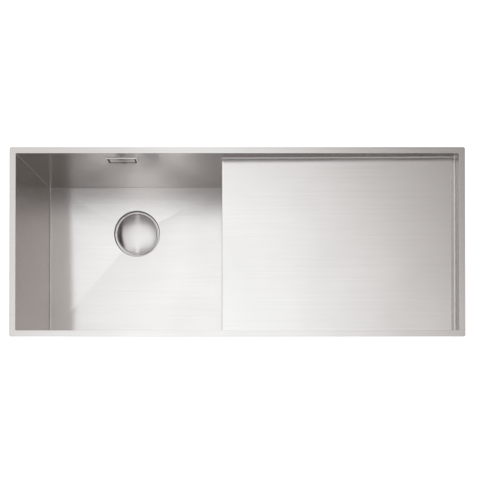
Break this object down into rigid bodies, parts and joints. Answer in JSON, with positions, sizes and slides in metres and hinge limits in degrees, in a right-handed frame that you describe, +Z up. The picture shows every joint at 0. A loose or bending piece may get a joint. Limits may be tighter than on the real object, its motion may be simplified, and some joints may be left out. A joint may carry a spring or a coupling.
{
  "type": "inset kitchen sink",
  "caption": "Inset stainless-steel kitchen sink with a square bowl, a flush drainboard, a covered basket strainer, an overflow and clips for a worktop.",
  "frame": {"origin": "centre of the worktop's cut-out, level with the worktop's top surface, which the rim's seal lies on", "axes": "+X along the sink from the bowl to the drainboard, +Y to the back, +Z up out of the worktop"},
  "size_m": [1.028, 0.4514, 0.3022],
  "materials": {
    "brushed_steel": "stainless steel sheet, brushed along its length",
    "polished_steel": "bright polished stainless steel",
    "zinc_steel": "zinc-plated steel, dull",
    "black_rubber": "black rubber, matt",
    "pad_rubber": "grey sound-deadening sheet, matt",
    "white_plastic": "white moulded polypropylene",
    "grey_plastic": "light grey moulded plastic"
  },
  "bodies": {
    "sink": {"rim_frame": "brushed_steel", "bowl_walls": "brushed_steel", "bowl_floor": "brushed_steel", "drainer_tray": "brushed_steel", "overflow_plate": "brushed_steel", "strainer_flange": "polished_steel", "overflow_frame": "polished_steel", "drainer_channel_1": "zinc_steel", "drainer_channel_2": "zinc_steel", "drainer_channel_3": "zinc_steel", "earth_tag": "zinc_steel", "waste_screw": "zinc_steel", "overflow_screw": "zinc_steel", "clip_back_left_bracket": "zinc_steel", "clip_back_middle_bracket": "zinc_steel", "clip_back_right_bracket": "zinc_steel", "clip_front_left_bracket": "zinc_steel", "clip_front_middle_bracket": "zinc_steel", "clip_front_right_bracket": "zinc_steel", "rim_seal": "black_rubber", "flange_seal": "black_rubber", "floor_seal": "black_rubber", "overflow_seal": "black_rubber", "pad_drainer_1": "pad_rubber", "pad_drainer_2": "pad_rubber", "pad_wall_left": "pad_rubber", "pad_wall_right": "pad_rubber", "pad_floor_front": "pad_rubber", "pad_floor_left": "pad_rubber", "pad_floor_right": "pad_rubber", "waste_body": "white_plastic", "overflow_housing": "white_plastic", "overflow_hose": "grey_plastic", "hose_nut_upper": "grey_plastic", "hose_nut_lower": "grey_plastic"},
    "basket": {"basket": "brushed_steel", "basket_stopper": "black_rubber", "basket_knob": "polished_steel", "stopper_screw": "zinc_steel"},
    "cover": {"strainer_cover": "brushed_steel"},
    "clip_back_left_screw": {"clip_back_left_screw": "zinc_steel"},
    "clip_back_left_arm": {"clip_back_left_arm": "zinc_steel"},
    "clip_back_middle_screw": {"clip_back_middle_screw": "zinc_steel"},
    "clip_back_middle_arm": {"clip_back_middle_arm": "zinc_steel"},
    "clip_back_right_screw": {"clip_back_right_screw": "zinc_steel"},
    "clip_back_right_arm": {"clip_back_right_arm": "zinc_steel"},
    "clip_front_left_screw": {"clip_front_left_screw": "zinc_steel"},
    "clip_front_left_arm": {"clip_front_left_arm": "zinc_steel"},
    "clip_front_middle_screw": {"clip_front_middle_screw": "zinc_steel"},
    "clip_front_middle_arm": {"clip_front_middle_arm": "zinc_steel"},
    "clip_front_right_screw": {"clip_front_right_screw": "zinc_steel"},
    "clip_front_right_arm": {"clip_front_right_arm": "zinc_steel"}
  },
  "joints": [
    {"name": "basket_lift", "type": "slide", "parent": "sink", "child": "basket", "axis": [0, 0, 1], "range_m": [0, 0.26]},
    {"name": "cover_lift", "type": "slide", "parent": "basket", "child": "cover", "axis": [0, 0, 1], "range_m": [0, 0.22]},
    {"name": "clip_back_left_draw", "type": "slide", "parent": "sink", "child": "clip_back_left_screw", "axis": [0, 0, 1], "range_m": [0, 0.02]},
    {"name": "clip_back_left_swing", "type": "hinge", "parent": "clip_back_left_screw", "child": "clip_back_left_arm", "pos_m": [-0.42, 0.2056, -0.048], "axis": [0, 0, 1], "range_deg": [0, 90]},
    {"name": "clip_back_middle_draw", "type": "slide", "parent": "sink", "child": "clip_back_middle_screw", "axis": [0, 0, 1], "range_m": [0, 0.02]},
    {"name": "clip_back_middle_swing", "type": "hinge", "parent": "clip_back_middle_screw", "child": "clip_back_middle_arm", "pos_m": [0.06, 0.2056, -0.048], "axis": [0, 0, 1], "range_deg": [0, 90]},
    {"name": "clip_back_right_draw", "type": "slide", "parent": "sink", "child": "clip_back_right_screw", "axis": [0, 0, 1], "range_m": [0, 0.02]},
    {"name": "clip_back_right_swing", "type": "hinge", "parent": "clip_back_right_screw", "child": "clip_back_right_arm", "pos_m": [0.43, 0.2056, -0.048], "axis": [0, 0, 1], "range_deg": [0, 90]},
    {"name": "clip_front_left_draw", "type": "slide", "parent": "sink", "child": "clip_front_left_screw", "axis": [0, 0, 1], "range_m": [0, 0.02]},
    {"name": "clip_front_left_swing", "type": "hinge", "parent": "clip_front_left_screw", "child": "clip_front_left_arm", "pos_m": [-0.42, -0.2056, -0.048], "axis": [0, 0, 1], "range_deg": [0, 90]},
    {"name": "clip_front_middle_draw", "type": "slide", "parent": "sink", "child": "clip_front_middle_screw", "axis": [0, 0, 1], "range_m": [0, 0.02]},
    {"name": "clip_front_middle_swing", "type": "hinge", "parent": "clip_front_middle_screw", "child": "clip_front_middle_arm", "pos_m": [0.06, -0.2056, -0.048], "axis": [0, 0, 1], "range_deg": [0, 90]},
    {"name": "clip_front_right_draw", "type": "slide", "parent": "sink", "child": "clip_front_right_screw", "axis": [0, 0, 1], "range_m": [0, 0.02]},
    {"name": "clip_front_right_swing", "type": "hinge", "parent": "clip_front_right_screw", "child": "clip_front_right_arm", "pos_m": [0.43, -0.2056, -0.048], "axis": [0, 0, 1], "range_deg": [0, 90]}
  ]
}
